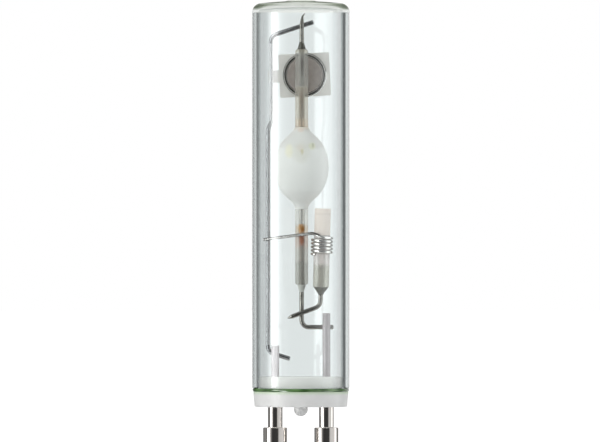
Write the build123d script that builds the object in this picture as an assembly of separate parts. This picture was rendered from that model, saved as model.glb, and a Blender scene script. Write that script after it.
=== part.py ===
from build123d import *
import os
from math import asin, atan2, ceil, cos, degrees, hypot, radians, sin, sqrt, tan

# A compact two-pin ceramic metal halide lamp, in millimetres. +Z runs up the lamp from its pins to
# its dome, +X points to its taller post, and the origin lies on its axis, level with the pin ends.
# Heights named "above seat" count from the underside of the base plate, where the lamp seats.

# Contact pins and lead posts
pin_spacing = 6.5
pin_neck_diameter = 1.9
pin_neck_length = 2.6
pin_head_diameter = 3.1
pin_head_length = 3.4
pin_chamfer = 0.2
pin_bore_depth = 3.8
post_diameter = 1.0
left_post_height = 7.8  # above seat
right_post_rise = 1.78  # past the lower lead that is welded to it

# Base plate, pump stem and seal
flange_inset = 0.15  # of the rim inside the bulb's outside
flange_thickness = 1.95
flange_draft = 5.0  # degrees
boss_height = 1.9
boss_chamfer = 0.15
boss_clearance = 0.04
stem_diameter = 1.75
stem_bore = 0.8
stem_drop = 1.2
seal_thickness = 0.4

# Outer bulb
bulb_wall = 0.8
bulb_wire_gap = 0.81  # from the frame wire to the bulb, which sets how wide the bulb is
bulb_headroom = 1.1  # from the top lead's bend to where the bulb starts to close
inner_knuckle = 0.4  # radius of the corner where the wall turns in to the crown, inside
inner_crown = 44.2  # radius of the crown, inside
tip_diameter = 4.4
tip_rise = 0.5

# Burner vessel
burner_offset = 0.1
burner_foot_height = 15.5  # above seat, to the lower capillary's end
vessel_diameter = 6.9
vessel_half_height = 4.6  # of the ellipse that the vessel's middle follows
vessel_wall = 0.5
shoulder_slope = 1.1  # how much the radius falls for each millimetre of height
capillary_diameter = 1.65
capillary_bore = 0.72
capillary_reach = 14.95  # from the vessel's middle to each end
junction_length = 1.0  # of the cone that eases the shoulder into the capillary

# Burner leads, seals and electrodes
lead_diameter = 0.58
upper_lead_depth = 4.7  # inside the capillary
lower_lead_depth = 3.0
upper_lead_rise = 3.55  # from the capillary's end to the bend at its own pointed end
lead_tip_length = 0.9
lead_tip_width = 0.1
lead_tip_lean = 18.0  # degrees
seal_taper = 0.95
seal_shoulder = 0.04
feedthrough_diameter = 0.6
upper_feedthrough_length = 4.0
lower_feedthrough_length = 4.7
electrode_diameter = 0.26
arc_gap = 4.5
coil_wire_diameter = 0.15
coil_turns = 2.5
coil_pitch = 0.18
coil_setback = 0.2  # from the electrode's tip
coil_fit = 0.01
lower_lead_drop = 5.38  # from the capillary's end to its bend
lower_lead_bend = 0.95
lower_lead_overrun = 1.05  # past the right post's axis

# Halide salt
salt_length = 2.7

# Frame wire, seen from the front: a run to the top lead, a stretch beside the burner and a foot
frame_wire_diameter = 0.58
vessel_wire_gap = 0.66
frame_wire_upper_y = 1.45
frame_wire_top_rise = 1.7  # from the upper capillary's end to the corner
frame_wire_top_slope = 0.322
frame_wire_top_reach = 1.4  # past the top lead
frame_wire_jog = 0.38  # towards the burner, above the vessel
frame_wire_jog_rise = 5.25  # from the vessel's middle
frame_wire_jog_length = 1.1
frame_wire_foot_drop = 0.8  # from the left post's top to the corner
frame_wire_foot_slope = 0.32
frame_wire_foot_reach = 1.87  # past the left post
frame_wire_bend = 1.0

# Getter
getter_drop = 3.25  # from the upper capillary's end to the getter's middle
getter_offset = 0.5
getter_width = 6.6
getter_tall = 5.5
getter_sheet = 0.2
getter_turn = 3.0  # degrees in its own plane
getter_tab_height = 1.6
getter_tab_margin = 0.1  # past the frame wire
getter_ring_diameter = 5.6
getter_ring_bore = 4.9
getter_ring_depth = 0.5
getter_pellet_gap = 0.12
getter_pellet_sink = 0.14

# Igniter tube
igniter_x = 2.53
igniter_drop = 0.3  # from the lower capillary's end to the tube's foot
igniter_diameter = 2.04
igniter_headroom = 5.25  # from the tube's top to the vessel's middle
igniter_bore = 0.72
igniter_cap = 3.4
igniter_lean = 1.4  # degrees
igniter_seal_taper = 1.0
igniter_lead_diameter = 0.56
igniter_lead_depth = 2.8
igniter_lead_drop = 2.4  # from the tube's foot to the bend
igniter_lead_bend = 1.05
igniter_lead_slope = 0.37
igniter_lead_reach = 1.25  # past the lower lead
igniter_tip_length = 0.56
igniter_tip_width = 0.14

# Aerial wire
aerial_diameter = 0.38
aerial_weld_drop = 0.2  # below the coil's first turn
aerial_tail = 0.45
aerial_crest_rise = 0.55  # above the coil's first turn
aerial_crest_setback = 1.03  # before the igniter tube's axis
aerial_bend = 1.1
aerial_gap = 0.12  # to the lower capillary
aerial_turns = 4.8
aerial_pitch = 0.45
aerial_coil_height = 6.3  # above the igniter tube's foot, to the coil's first turn
aerial_coil_start = -60.0  # degrees round the tube, seen from above
aerial_coil_fit = 0.02
aerial_run_in = 0.7  # straight length before the coil, in which the wire turns into it

weld_sink = 0.05  # how deep crossing wires are pressed into each other at a weld

# Round profiles and bends are made as short chords, because the lamp has many small round pieces and
# a smooth face on each would make the model heavy. None lies more than 0.07 off its true curve, or
# 0.15 inside the vessel. The vessel has an odd number, so that the middle one is at its full width.
knuckle_chords = 3
inner_knuckle_chords = 2
tip_chords = 2
stem_chords = 2
vessel_chords = 5  # over the whole bulb of the vessel, outside
vessel_inner_chords = 3
bend_step = 23.0  # degrees a wire turns from chord to chord
wire_sides = 12
fine_wire_sides = 8
coil_chords = 8  # in each turn of an electrode's coil
coil_wire_sides = 6
aerial_chords = 13  # in each turn

# Levels and places that follow from the sizes above
seat = pin_neck_length + pin_head_length
post_x = pin_spacing / 2
post_radius = post_diameter / 2
post_foot = seat - pin_bore_depth
left_post_top = seat + left_post_height
capillary_radius = capillary_diameter / 2
capillary_bore_radius = capillary_bore / 2
capillary_foot = seat + burner_foot_height
vessel_middle = capillary_foot + capillary_reach
vessel_radius = vessel_diameter / 2
capillary_top = vessel_middle + capillary_reach
lead_radius = lead_diameter / 2
upper_lead_bend = capillary_top + upper_lead_rise
lower_lead_level = capillary_foot - lower_lead_drop
right_post_top = lower_lead_level + right_post_rise
feedthrough_radius = feedthrough_diameter / 2
electrode_radius = electrode_diameter / 2

frame_radius = frame_wire_diameter / 2
frame_weld_offset = frame_radius + post_radius - weld_sink
frame_wire_reach = vessel_radius + vessel_wire_gap + frame_radius
frame_wire_lower_x = burner_offset - sqrt(frame_wire_reach**2 - frame_weld_offset**2)
frame_wire_upper_x = frame_wire_lower_x + frame_wire_jog

bulb_bore = hypot(frame_wire_lower_x, frame_weld_offset) + frame_radius + bulb_wire_gap
bulb_radius = bulb_bore + bulb_wall
plate_top = seat + flange_thickness
boss_radius = bulb_bore - boss_clearance
boss_top = plate_top + boss_height
glass_foot = plate_top + seal_thickness
knuckle_height = upper_lead_bend + bulb_headroom

igniter_radius = igniter_diameter / 2
igniter_bore_radius = igniter_bore / 2
igniter_lead_radius = igniter_lead_diameter / 2
igniter_y = weld_sink - lead_radius - igniter_lead_radius
igniter_foot = capillary_foot - igniter_drop
igniter_length = vessel_middle - igniter_headroom - igniter_foot
igniter_place = Pos(igniter_x, igniter_y, igniter_foot) * Rot(0, igniter_lean, 0)
aerial_radius = aerial_diameter / 2
aerial_coil_top = igniter_foot + aerial_coil_height
burner_axis = Pos(burner_offset, 0, 0)


def rod(radius, bottom, top):
    """A round rod on the Z axis."""
    return Pos(0, 0, bottom) * Cylinder(radius, top - bottom, align=(Align.CENTER, Align.CENTER, Align.MIN))


def turned(*points):
    """A turned solid from an outline of radius and height."""
    outline = make_face(Polyline(*[(radius, 0, height) for radius, height in points], close=True))
    return revolve(outline, Axis.Z)


def arc_points(radius, height, bend, start, end, chords):
    """Points of radius and height along an arc of a turned outline. Angles in degrees from level."""
    angles = [radians(start + (end - start) * step / chords) for step in range(chords + 1)]
    return [(radius + bend * cos(angle), height + bend * sin(angle)) for angle in angles]


def wire_points(path):
    """The ends of a wire path's straight runs, with points between them where it bends."""
    points = [path @ 0]
    run = 0
    for edge in path.edges():
        steps = 1
        if edge.geom_type == GeomType.CIRCLE:
            steps = ceil(degrees(edge.length / edge.radius) / bend_step)
        points += [path @ ((run + edge.length * step / steps) / path.length) for step in range(1, steps + 1)]
        run += edge.length
    return points


def drawn_wire(points, radius, sides=wire_sides, tip_length=0.0, tip_width=0.0):
    """A wire drawn through points, mitred at each, with its far end pulled to a point if asked."""
    path = Polyline(*points)
    section = Plane(origin=path @ 0, z_dir=path % 0) * RegularPolygon(radius, sides)
    wire = sweep(section, path=path, transition=Transition.RIGHT)
    if tip_length:
        end = wire.faces().sort_by_distance(path @ 1)[0]
        wire += extrude(end, tip_length, taper=degrees(atan2(radius - tip_width / 2, tip_length)))
    return wire


def frit_cone(tube_radius, core_radius, length):
    """A cone of frit on a tube's end, from just inside its rim up to the lead that comes out of it."""
    foot = tube_radius - seal_shoulder
    lean = degrees(atan2(foot - core_radius, length))
    return extrude(RegularPolygon(foot, wire_sides), length, taper=lean)


def save(name, shape):
    shape.label = name
    export_step(shape, f"parts/{name}.step")


def dome_points(radius, knuckle, crown, chords):
    """Round the knuckle of a tube's domed end to where its crown begins, and the crown's centre."""
    crown_centre = knuckle_height - sqrt((crown - knuckle) ** 2 - (radius - knuckle) ** 2)
    turn_in = 90 - degrees(asin((radius - knuckle) / (crown - knuckle)))
    return arc_points(radius - knuckle, knuckle_height, knuckle, 0, turn_in, chords), crown_centre


def make_outer_bulb():
    """Blown from tube, with a low tip on its crown where the tube was drawn off."""
    knuckle = inner_knuckle + bulb_wall
    crown = inner_crown + bulb_wall
    outside, crown_centre = dome_points(bulb_radius, knuckle, crown, knuckle_chords)
    inside, _ = dome_points(bulb_bore, inner_knuckle, inner_crown, inner_knuckle_chords)
    tip_radius = tip_diameter / 2
    tip_foot = crown_centre + sqrt(crown**2 - tip_radius**2)
    tip_round = (tip_radius**2 + tip_rise**2) / (2 * tip_rise)
    tip_start = degrees(asin((tip_round - tip_rise) / tip_round))
    tip = arc_points(0, tip_foot + tip_rise - tip_round, tip_round, tip_start, 90, tip_chords)
    return turned(
        (bulb_bore, glass_foot),
        (bulb_radius, glass_foot),
        *outside,
        *tip,
        (0, crown_centre + inner_crown),
        *reversed(inside),
    )


def make_seal_ring():
    """Fused glass between the bulb's rim and the plate."""
    return rod(bulb_radius, plate_top, glass_foot) - rod(boss_radius, plate_top, glass_foot)


def make_base_plate():
    top = bulb_radius - flange_inset
    foot = top - flange_thickness * tan(radians(flange_draft))
    plate = turned(
        (0, seat),
        (foot, seat),
        (top, plate_top),
        (boss_radius, plate_top),
        (boss_radius, boss_top - boss_chamfer),
        (boss_radius - boss_chamfer, boss_top),
        (0, boss_top),
    )
    holes = rod(stem_diameter / 2, seat, boss_top)
    for side in (-1, 1):
        holes += Pos(side * post_x, 0, 0) * rod(post_radius, seat, boss_top)
    return plate - holes


def make_exhaust_stem():
    """The tube that the bulb was pumped and closed through, melted shut below the plate."""
    radius = stem_diameter / 2
    bore = stem_bore / 2
    round_end = arc_points(0, seat - stem_drop + radius, radius, -90, 0, stem_chords)
    return turned(*round_end, (radius, boss_top), (bore, boss_top), (bore, seat), (0, seat))


def make_contact_pin():
    neck = pin_neck_diameter / 2
    head = pin_head_diameter / 2
    return turned(
        (0, 0),
        (head - pin_chamfer, 0),
        (head, pin_chamfer),
        (head, pin_head_length),
        (neck, pin_head_length),
        (neck, seat),
        (post_radius, seat),
        (post_radius, post_foot),
        (0, post_foot),
    )


def skin_points(radius, half_height, neck, chords):
    """One skin of the vessel, from foot to top: an ellipse and the heights where its shoulders end."""
    shoulder = atan2(shoulder_slope * half_height, radius)
    angles = [shoulder * (2 * step / chords - 1) for step in range(chords + 1)]
    widest = radius / cos(shoulder / chords)
    ellipse = [(widest * cos(angle), half_height * sin(angle)) for angle in angles]
    shoulder_radius, shoulder_height = ellipse[-1]
    return ellipse, shoulder_height + (shoulder_radius - neck) / shoulder_slope


def make_burner_vessel():
    """Cast in one piece: a hollow bulb, whose shoulders run off as cones into two capillaries."""
    outside, junction = skin_points(vessel_radius, vessel_half_height, capillary_radius, vessel_chords)
    inside, bore_start = skin_points(
        vessel_radius - vessel_wall,
        vessel_half_height - vessel_wall,
        capillary_bore_radius,
        vessel_inner_chords,
    )
    ease = junction_length / 2
    neck = [
        (capillary_radius + ease * shoulder_slope, junction - ease),
        (capillary_radius, junction + ease),
        (capillary_radius, capillary_reach),
        (capillary_bore_radius, capillary_reach),
        (capillary_bore_radius, bore_start),
    ]
    lower_neck = [(radius, -height) for radius, height in neck]
    vessel = turned(*outside, *neck, *reversed(inside), *reversed(lower_neck))
    return Pos(burner_offset, 0, vessel_middle) * vessel


def make_seal(side, end, lead):
    """A frit seal, which runs from the capillary's end up the lead."""
    flip = Rot(0, 0, 0) if side > 0 else Rot(180, 0, 0)
    return burner_axis * Pos(0, 0, end) * flip * frit_cone(capillary_radius, lead_radius, seal_taper) - lead


def make_upper_lead():
    """Its end was pulled to a point and leans over."""
    bend = Vector(0, 0, upper_lead_bend)
    lean = Vector(sin(radians(lead_tip_lean)), 0, cos(radians(lead_tip_lean)))
    points = (Vector(0, 0, capillary_top - upper_lead_depth), bend, bend + lean * lead_radius)
    lead = drawn_wire(points, lead_radius, tip_length=lead_tip_length, tip_width=lead_tip_width)
    return burner_axis * lead


def make_lower_lead(post):
    """Down out of the burner, and over to a weld on the back of the right post."""
    away = post_x - burner_offset
    heading = asin((post_radius + lead_radius - weld_sink) / away)
    run = away + lower_lead_overrun
    path = FilletPolyline(
        (0, 0, capillary_foot + lower_lead_depth),
        (0, 0, lower_lead_level),
        (run * cos(heading), run * sin(heading), lower_lead_level),
        radius=lower_lead_bend,
    )
    return burner_axis * drawn_wire(wire_points(path), lead_radius) - post


def electrode_levels(side):
    """Where one feedthrough starts and ends, and where its electrode's tip is."""
    depth = upper_lead_depth if side > 0 else lower_lead_depth
    length = upper_feedthrough_length if side > 0 else lower_feedthrough_length
    outer = vessel_middle + side * (capillary_reach - depth)
    return outer, outer - side * length, vessel_middle + side * arc_gap / 2


def make_feedthrough(side):
    outer, inner, _ = electrode_levels(side)
    return burner_axis * drawn_wire([(0, 0, outer), (0, 0, inner)], feedthrough_radius)


def make_electrode(side):
    _, foot, tip = electrode_levels(side)
    return burner_axis * drawn_wire([(0, 0, foot), (0, 0, tip)], electrode_radius, fine_wire_sides)


def coil_points(radius, pitch, turns, chords):
    """Even steps down a coil whose top lies on the X axis and which turns anticlockwise as it sinks."""
    climb = turns * pitch
    coil = Pos(0, 0, -climb) * Rot(0, 0, 360 * turns) * Helix(pitch, climb, radius, lefthand=True)
    steps = round(turns * chords)
    return [coil @ (1 - step / steps) for step in range(steps + 1)]


def make_electrode_coil(side):
    """A few turns of fine wire wound on the electrode, just behind its tip."""
    _, _, tip = electrode_levels(side)
    wire_radius = coil_wire_diameter / 2
    radius = (electrode_radius + coil_fit + wire_radius) / cos(radians(180 / coil_chords))
    points = coil_points(radius, coil_pitch, coil_turns, coil_chords)
    coil = drawn_wire(points, wire_radius, coil_wire_sides)
    flip = Rot(180, 0, 0) if side > 0 else Rot(0, 0, 0)
    return burner_axis * Pos(0, 0, tip) * flip * Pos(0, 0, -coil_setback) * coil


def make_halide_salt():
    """Salt that has crept into the lower neck, round the feedthrough and up to its end."""
    _, top, _ = electrode_levels(-1)
    ring = RegularPolygon(capillary_bore_radius, wire_sides) - RegularPolygon(feedthrough_radius, wire_sides)
    return burner_axis * Pos(0, 0, top) * extrude(ring, -salt_length)


def make_frame_wire(post, lead):
    """The side wire: over the top lead, down beside the burner, jogged round it, and under to the post."""
    over = lead_radius + frame_radius - weld_sink
    away = hypot(burner_offset - frame_wire_upper_x, frame_wire_upper_y)
    heading = asin(over / away) - atan2(frame_wire_upper_y, burner_offset - frame_wire_upper_x)
    reach = sqrt(away**2 - over**2) + frame_wire_top_reach
    across = reach * cos(heading)
    top_corner = Vector(frame_wire_upper_x, frame_wire_upper_y, capillary_top + frame_wire_top_rise)
    top_end = top_corner + Vector(across, reach * sin(heading), across * frame_wire_top_slope)
    jog = vessel_middle + frame_wire_jog_rise
    foot_corner = Vector(frame_wire_lower_x, frame_weld_offset, left_post_top - frame_wire_foot_drop)
    foot_run = frame_wire_foot_reach - post_x - frame_wire_lower_x
    path = FilletPolyline(
        top_end,
        top_corner,
        (frame_wire_upper_x, frame_wire_upper_y, jog + frame_wire_jog_length / 2),
        (frame_wire_lower_x, frame_weld_offset, jog - frame_wire_jog_length / 2),
        foot_corner,
        foot_corner + Vector(foot_run, 0, -foot_run * frame_wire_foot_slope),
        radius=frame_wire_bend,
    )
    return drawn_wire(wire_points(path), frame_radius) - post - lead


def getter_place():
    """The middle of the getter sheet's front face, turned as the sheet hangs on the wire."""
    front = frame_wire_upper_y + frame_radius - weld_sink
    return Pos(getter_offset, front, capillary_top - getter_drop) * Rot(0, -getter_turn, 0)


def make_getter_plate(frame_wire):
    low = (Align.CENTER, Align.MIN, Align.CENTER)
    sheet = Box(getter_width, getter_sheet, getter_tall, align=low)
    reach = getter_offset - getter_width / 2 - frame_wire_upper_x + frame_radius + getter_tab_margin
    tab = Box(reach, getter_sheet, getter_tab_height, align=(Align.MAX, Align.MIN, Align.CENTER))
    plate = sheet + Pos(-getter_width / 2, 0, 0) * tab
    return getter_place() * plate - frame_wire


def make_getter_ring():
    """A pressed steel ring that stands on the sheet round the getter."""
    outside = rod(getter_ring_diameter / 2, 0, getter_ring_depth)
    bore = rod(getter_ring_bore / 2, 0, getter_ring_depth)
    return getter_place() * Rot(90, 0, 0) * (outside - bore)


def make_getter_pellet():
    pellet = rod(getter_ring_bore / 2 - getter_pellet_gap, 0, getter_ring_depth - getter_pellet_sink)
    return getter_place() * Rot(90, 0, 0) * pellet


def make_igniter_tube():
    tube = turned(
        (igniter_bore_radius, 0),
        (igniter_radius, 0),
        (igniter_radius, igniter_length),
        (0, igniter_length),
        (0, igniter_length - igniter_cap),
        (igniter_bore_radius, igniter_length - igniter_cap),
    )
    return igniter_place * tube


def make_igniter_seal(lead):
    cone = frit_cone(igniter_radius, igniter_lead_radius, igniter_seal_taper)
    return igniter_place * Rot(180, 0, 0) * cone - lead


def make_igniter_lead(lower_lead):
    """Out of the tube, round a bend and down across the front of the lower lead to a cut point."""
    head = (igniter_place * Pos(0, 0, igniter_lead_depth)).position
    corner = (igniter_place * Pos(0, 0, -igniter_lead_drop)).position
    run = corner.X - burner_offset + igniter_lead_reach
    tail = corner + Vector(-run, 0, -run * igniter_lead_slope)
    path = FilletPolyline(head, corner, tail, radius=igniter_lead_bend)
    tip = {"tip_length": igniter_tip_length, "tip_width": igniter_tip_width}
    return drawn_wire(wire_points(path), igniter_lead_radius, **tip) - lower_lead


def make_aerial_wire(frame_wire):
    """From its weld on the frame wire, across the front of the lower neck, into the coil on the tube."""
    # Seen from above, the straight run passes in front of the frame wire and the capillary
    past_frame = frame_radius + aerial_radius - weld_sink
    past_neck = capillary_radius + aerial_radius + aerial_gap
    apart = Vector(burner_offset - frame_wire_lower_x, -frame_weld_offset)
    heading = atan2(apart.Y, apart.X) - asin((past_neck - past_frame) / apart.length)
    weld_x = frame_wire_lower_x + past_frame * sin(heading)
    weld_y = frame_weld_offset - past_frame * cos(heading)
    run = igniter_x - aerial_crest_setback - weld_x
    along = Vector(1, tan(heading), (aerial_weld_drop + aerial_crest_rise) / run)
    weld = Vector(weld_x, weld_y, aerial_coil_top - aerial_weld_drop)
    crest = weld + along * run

    # The coil is wound close on the igniter tube, and the wire runs into its first turn in line
    coil_radius = (igniter_radius + aerial_coil_fit + aerial_radius) / cos(radians(180 / aerial_chords))
    coil_place = igniter_place * Pos(0, 0, aerial_coil_height) * Rot(0, 0, aerial_coil_start)
    turns = coil_points(coil_radius, aerial_pitch, aerial_turns, aerial_chords)
    coil = [(coil_place * Pos(point)).position for point in turns]
    run_in = coil[0] + (coil[0] - coil[1]).normalized() * aerial_run_in
    lead_in = FilletPolyline(weld - along * aerial_tail, crest, run_in, coil[0], radius=aerial_bend)
    points = wire_points(lead_in) + coil[1:]
    return drawn_wire(points, aerial_radius, fine_wire_sides) - frame_wire


os.makedirs("parts", exist_ok=True)
left_post = Pos(-post_x, 0, 0) * rod(post_radius, post_foot, left_post_top)
right_post = Pos(post_x, 0, 0) * rod(post_radius, post_foot, right_post_top)
save("outer_bulb", make_outer_bulb())
save("bulb_seal_ring", make_seal_ring())
save("base_plate", make_base_plate())
save("exhaust_stem", make_exhaust_stem())
save("contact_pin_left", Pos(-post_x, 0, 0) * make_contact_pin())
save("contact_pin_right", Pos(post_x, 0, 0) * make_contact_pin())
save("lead_post_left", left_post)
save("lead_post_right", right_post)

save("burner_vessel", make_burner_vessel())
upper_lead = make_upper_lead()
lower_lead = make_lower_lead(right_post)
save("upper_lead", upper_lead)
save("lower_lead", lower_lead)
save("upper_seal", make_seal(1, capillary_top, upper_lead))
save("lower_seal", make_seal(-1, capillary_foot, lower_lead))
for name, side in (("upper", 1), ("lower", -1)):
    save(f"{name}_feedthrough", make_feedthrough(side))
    save(f"{name}_electrode", make_electrode(side))
    save(f"{name}_electrode_coil", make_electrode_coil(side))
save("halide_salt", make_halide_salt())

frame_wire = make_frame_wire(left_post, upper_lead)
save("frame_wire", frame_wire)
save("getter_plate", make_getter_plate(frame_wire))
save("getter_ring", make_getter_ring())
save("getter_pellet", make_getter_pellet())
save("igniter_tube", make_igniter_tube())
igniter_lead = make_igniter_lead(lower_lead)
save("igniter_lead", igniter_lead)
save("igniter_seal", make_igniter_seal(igniter_lead))
save("aerial_wire", make_aerial_wire(frame_wire))
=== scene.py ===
import math
import bmesh
import bpy
from mathutils import Matrix, Vector, noise


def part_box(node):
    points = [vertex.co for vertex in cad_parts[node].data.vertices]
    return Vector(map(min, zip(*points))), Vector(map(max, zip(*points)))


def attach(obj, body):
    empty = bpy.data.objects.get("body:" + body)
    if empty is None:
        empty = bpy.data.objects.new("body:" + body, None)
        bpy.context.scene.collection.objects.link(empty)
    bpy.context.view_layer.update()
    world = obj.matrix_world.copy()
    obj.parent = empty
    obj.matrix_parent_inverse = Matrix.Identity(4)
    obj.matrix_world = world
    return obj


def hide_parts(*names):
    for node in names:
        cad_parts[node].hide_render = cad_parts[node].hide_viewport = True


# Looks for a compact two-pin ceramic metal halide lamp. Sizes here are in millimetres, and
# meshes are written in metres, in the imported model's own frame
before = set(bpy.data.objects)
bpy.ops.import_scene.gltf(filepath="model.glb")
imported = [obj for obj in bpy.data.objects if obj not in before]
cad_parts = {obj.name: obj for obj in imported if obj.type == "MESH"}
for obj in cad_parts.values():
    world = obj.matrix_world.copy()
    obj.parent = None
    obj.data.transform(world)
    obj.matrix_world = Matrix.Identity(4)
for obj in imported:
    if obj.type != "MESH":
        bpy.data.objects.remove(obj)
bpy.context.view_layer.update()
mm = 0.001
looks = {}  # every material by its name
print("frame loaded:", len(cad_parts), "nodes")


def boxMm(node):
    low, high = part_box(node)
    return low / mm, high / mm


def link(thing):
    bpy.context.scene.collection.objects.link(thing)
    return thing


# Meshes

def roundOutline(corners, steps=6):
    # Corners of a closed outline, each (radius, height) or (radius, height, rounding)
    points = []
    for index, corner in enumerate(corners):
        here = Vector(corner[:2])
        if len(corner) < 3:
            points.append(tuple(here))
            continue
        rounding = corner[2]
        back = (Vector(corners[index - 1][:2]) - here).normalized()
        ahead = (Vector(corners[(index + 1) % len(corners)][:2]) - here).normalized()
        half = back.angle(ahead) / 2
        centre = here + (back + ahead).normalized() * rounding / math.sin(half)
        start = here + back * rounding / math.tan(half) - centre
        end = here + ahead * rounding / math.tan(half) - centre
        turn = math.atan2(start.cross(end), start.dot(end))
        for step in range(steps + 1):
            swing = Matrix.Rotation(turn * step / steps, 2)
            points.append(tuple(centre + swing @ start))
    return points


def arcPoints(radius, height, bend, start, end, steps):
    angles = [math.radians(start + (end - start) * step / steps) for step in range(steps + 1)]
    return [(radius + bend * math.cos(angle), height + bend * math.sin(angle)) for angle in angles]


def markSharp(bm, degrees):
    for edge in bm.edges:
        angle = edge.calc_face_angle() if len(edge.link_faces) == 2 else math.pi
        edge.smooth = angle < math.radians(degrees)


def finishedMesh(name, bm, sharp=38):
    mesh = bpy.data.meshes.new(name)
    bmesh.ops.recalc_face_normals(bm, faces=bm.faces)
    markSharp(bm, sharp)
    for face in bm.faces:
        face.smooth = True
    bm.to_mesh(mesh)
    bm.free()
    return mesh


def turnedMesh(name, outline, segments, axis=(0, 0)):
    # Spins a closed outline round an upright axis. Points on the axis become poles
    bm = bmesh.new()
    rings = []
    for radius, height in outline:
        count = segments if radius > 1e-6 else 1
        ring = []
        for step in range(count):
            angle = 2 * math.pi * step / count
            place = (axis[0] + radius * math.cos(angle), axis[1] + radius * math.sin(angle), height)
            ring.append(bm.verts.new(Vector(place) * mm))
        rings.append(ring)
    for ring, above in zip(rings, rings[1:] + rings[:1]):
        if len(ring) == 1 and len(above) == 1:
            continue
        for step in range(segments):
            after = (step + 1) % segments
            corners = [ring[step % len(ring)], ring[after % len(ring)]]
            corners += [above[after % len(above)], above[step % len(above)]]
            bm.faces.new(dict.fromkeys(corners))
    return finishedMesh(name, bm)


def paintFaces(mesh, lookAt):
    # lookAt counts a face's material among the piece's own, from its middle and its normal
    for face in mesh.polygons:
        face.material_index = lookAt(face.center / mm, face.normal)
    return mesh


def addPiece(mesh, slot, node, *names):
    # names: its materials, in the order that its faces count them
    piece = link(bpy.data.objects.new(mesh.name, mesh))
    for name in names[len(mesh.materials):]:
        mesh.materials.append(looks[name])
    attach(piece, "root")
    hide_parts(node)


# Nodes

def feed(tree, node, values):
    # Each input takes another node's output or a value of its own
    for key, value in values.items():
        socket = node.inputs[key]
        if hasattr(value, "is_linked"):
            tree.links.new(value, socket)
        elif socket.type == "RGBA":
            socket.default_value = (*value, 1.0)[:4]
        else:
            socket.default_value = value


def addNode(tree, kind, values=None, **settings):
    node = tree.nodes.new(kind)
    for key, setting in settings.items():
        setattr(node, key, setting)
    feed(tree, node, values or {})
    return node


def objectPoint(tree, scale=(1000, 1000, 1000)):
    # Object coordinates in millimetres
    place = addNode(tree, "ShaderNodeTexCoord").outputs["Object"]
    return addNode(tree, "ShaderNodeMapping", {"Vector": place, "Scale": scale}).outputs["Vector"]


def splitPoint(tree, point):
    return addNode(tree, "ShaderNodeSeparateXYZ", {0: point}).outputs


def mathNode(tree, operation, *values):
    return addNode(tree, "ShaderNodeMath", dict(enumerate(values)), operation=operation).outputs[0]


def noiseNode(tree, point, scale, detail=3.0):
    values = {"Vector": point, "Scale": scale, "Detail": detail, "Roughness": 0.55}
    return addNode(tree, "ShaderNodeTexNoise", values).outputs["Fac"]


def mixColour(tree, factor, first, second):
    values = {0: factor, 6: first, 7: second}
    return addNode(tree, "ShaderNodeMix", values, data_type="RGBA").outputs[2]


def mixShader(tree, factor, first, second):
    values = {0: factor, 1: first.outputs[0], 2: second.outputs[0]}
    return addNode(tree, "ShaderNodeMixShader", values)


def mapRange(tree, value, fromMin, fromMax, toMin=0.0, toMax=1.0, smooth=False):
    values = {"Value": value, "From Min": fromMin, "From Max": fromMax}
    values.update({"To Min": toMin, "To Max": toMax})
    kind = "SMOOTHSTEP" if smooth else "LINEAR"
    return addNode(tree, "ShaderNodeMapRange", values, interpolation_type=kind).outputs["Result"]


def rampNode(tree, value, stops):
    node = addNode(tree, "ShaderNodeValToRGB", {"Fac": value})
    ramp = node.color_ramp
    while len(ramp.elements) < len(stops):
        ramp.elements.new(0.5)
    for element, (position, colour) in zip(ramp.elements, stops):
        element.position = position
        element.color = (*colour, 1.0)
    return node.outputs["Color"]


def groupTree(name, kind, inputs, outputs):
    # Each socket has a label, a type and, if it is an input, perhaps the value it starts with
    tree = bpy.data.node_groups.new(name, kind)
    for way, sockets in (("INPUT", inputs), ("OUTPUT", outputs)):
        for label, sort, *value in sockets:
            sort = "NodeSocket" + sort
            socket = tree.interface.new_socket(name=label, in_out=way, socket_type=sort)
            if value:
                socket.default_value = value[0]
    return tree, addNode(tree, "NodeGroupInput").outputs, addNode(tree, "NodeGroupOutput")


# Shader node groups that more than one material uses

def finishGroup(name, scale, pattern, low, high):
    # Colour and roughness, each between two by a pattern, and a height for a Bump node
    inputs = [
        ("Light Colour", "Color", (1, 1, 1, 1)),
        ("Dark Colour", "Color", (0.7, 0.7, 0.7, 1)),
        ("Scale", "Float", scale),
        ("Smooth", "Float", 0.3),
        ("Rough", "Float", 0.5),
    ]
    outputs = [("Colour", "Color"), ("Roughness", "Float"), ("Height", "Float")]
    tree, source, result = groupTree(name, "ShaderNodeTree", inputs, outputs)
    tone, sheen, height = pattern(tree, source["Scale"])
    share = mapRange(tree, tone, low, high)
    colour = mixColour(tree, share, source["Light Colour"], source["Dark Colour"])
    rough = mapRange(tree, sheen, low, high, source["Smooth"], source["Rough"])
    feed(tree, result, {"Colour": colour, "Roughness": rough, "Height": height})
    return tree


def blend(tree, first, share, second):
    firstPart = mathNode(tree, "MULTIPLY", first, share)
    return mathNode(tree, "ADD", firstPart, mathNode(tree, "MULTIPLY", second, 1 - share))


def mottle(tree, scale):
    # Soft patches with finer ones on them
    point = objectPoint(tree)
    coarse = noiseNode(tree, point, scale)
    fine = noiseNode(tree, point, mathNode(tree, "MULTIPLY", scale, 7.0), 2.0)
    both = blend(tree, coarse, 0.6, fine)
    return coarse, both, both


def dieLines(tree, scale):
    # Die lines along an upright wire or pin: noise stretched along Z, plus soft patches
    lines = noiseNode(tree, objectPoint(tree, (1000, 1000, 60)), scale, 2.0)
    both = blend(tree, lines, 0.5, noiseNode(tree, objectPoint(tree), 1.3))
    return both, both, lines


grainGroup = finishGroup("mottledGrain", 3.0, mottle, 0.3, 0.7)
drawnGroup = finishGroup("drawnLines", 6.0, dieLines, 0.35, 0.65)


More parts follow.
